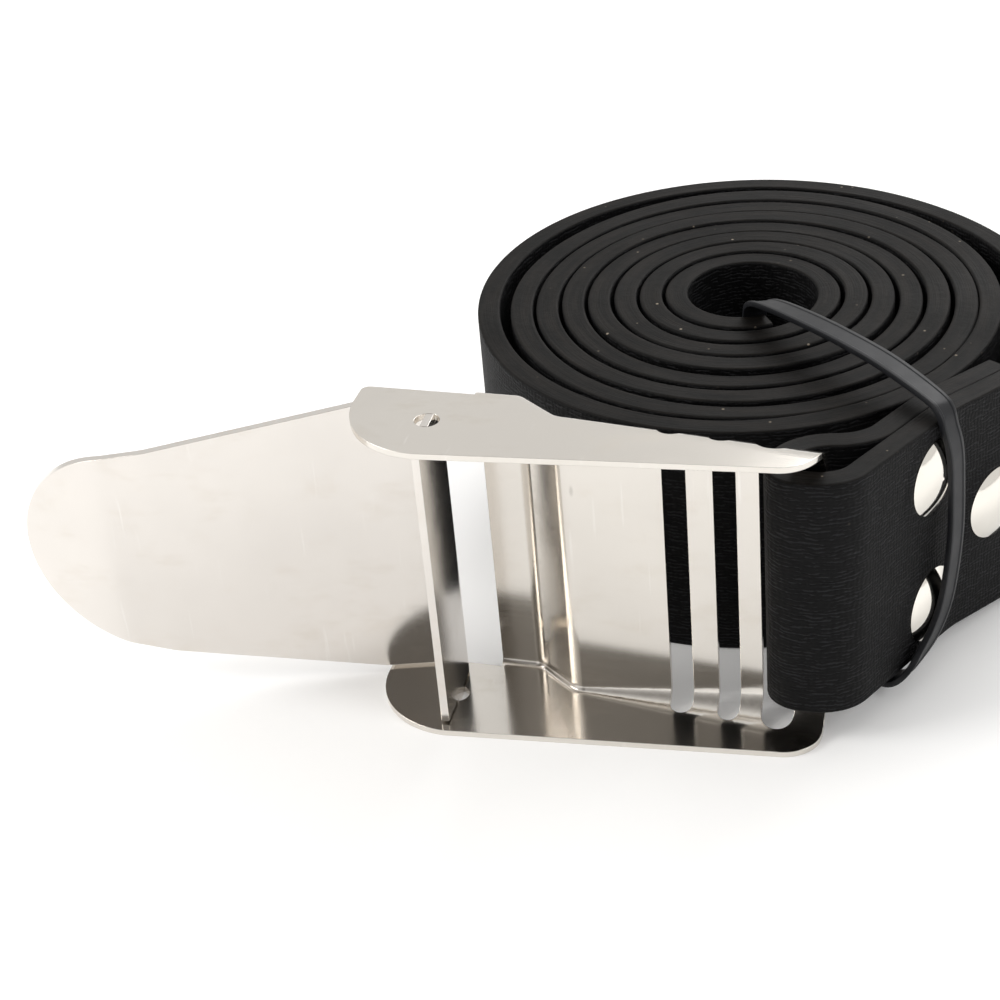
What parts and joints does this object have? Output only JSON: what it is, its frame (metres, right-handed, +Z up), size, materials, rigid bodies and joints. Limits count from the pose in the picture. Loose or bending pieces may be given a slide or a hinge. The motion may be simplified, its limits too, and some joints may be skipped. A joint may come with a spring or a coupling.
{
  "type": "dive weight belt",
  "caption": "Rolled rubber dive weight belt, standing as a coil, with a riveted loop on a slotted cam buckle whose release lever swings open.",
  "frame": {"origin": "on the resting surface, under the middle of the whole part's box", "axes": "+Z up along the coil's axis and the buckle's hinge, +X along the buckle from its lever towards its slots, +Y from the buckle towards the coil"},
  "size_m": [0.1908, 0.1458, 0.0633],
  "materials": {
    "strap_rubber": "matte with a fine canvas impression",
    "frame_steel": "polished stainless sheet",
    "lever_steel": "polished stainless sheet",
    "rivet_nickel": "bright nickel plate",
    "tie_nylon": "smooth black nylon"
  },
  "bodies": {
    "belt": {"rubber_strap": "strap_rubber", "cable_tie": "tie_nylon", "rivet_cap_upper": "rivet_nickel", "rivet_cap_lower": "rivet_nickel", "rivet_cap_rear": "rivet_nickel", "rivet_post_upper": "rivet_nickel", "rivet_post_lower": "rivet_nickel", "rivet_post_rear": "rivet_nickel"},
    "buckle": {"buckle_frame": "frame_steel"},
    "lever": {"release_lever": "lever_steel"}
  },
  "joints": [
    {"name": "buckle_swivel", "type": "hinge", "parent": "belt", "child": "buckle", "pos_m": [0.05682, -0.05554, 0.03165], "axis": [0, 0, 1], "range_deg": [-12, 12]},
    {"name": "lever_hinge", "type": "hinge", "parent": "buckle", "child": "lever", "pos_m": [-0.01148, -0.06144, 0.03165], "axis": [0, 0, 1], "range_deg": [-12, 163.5]}
  ]
}
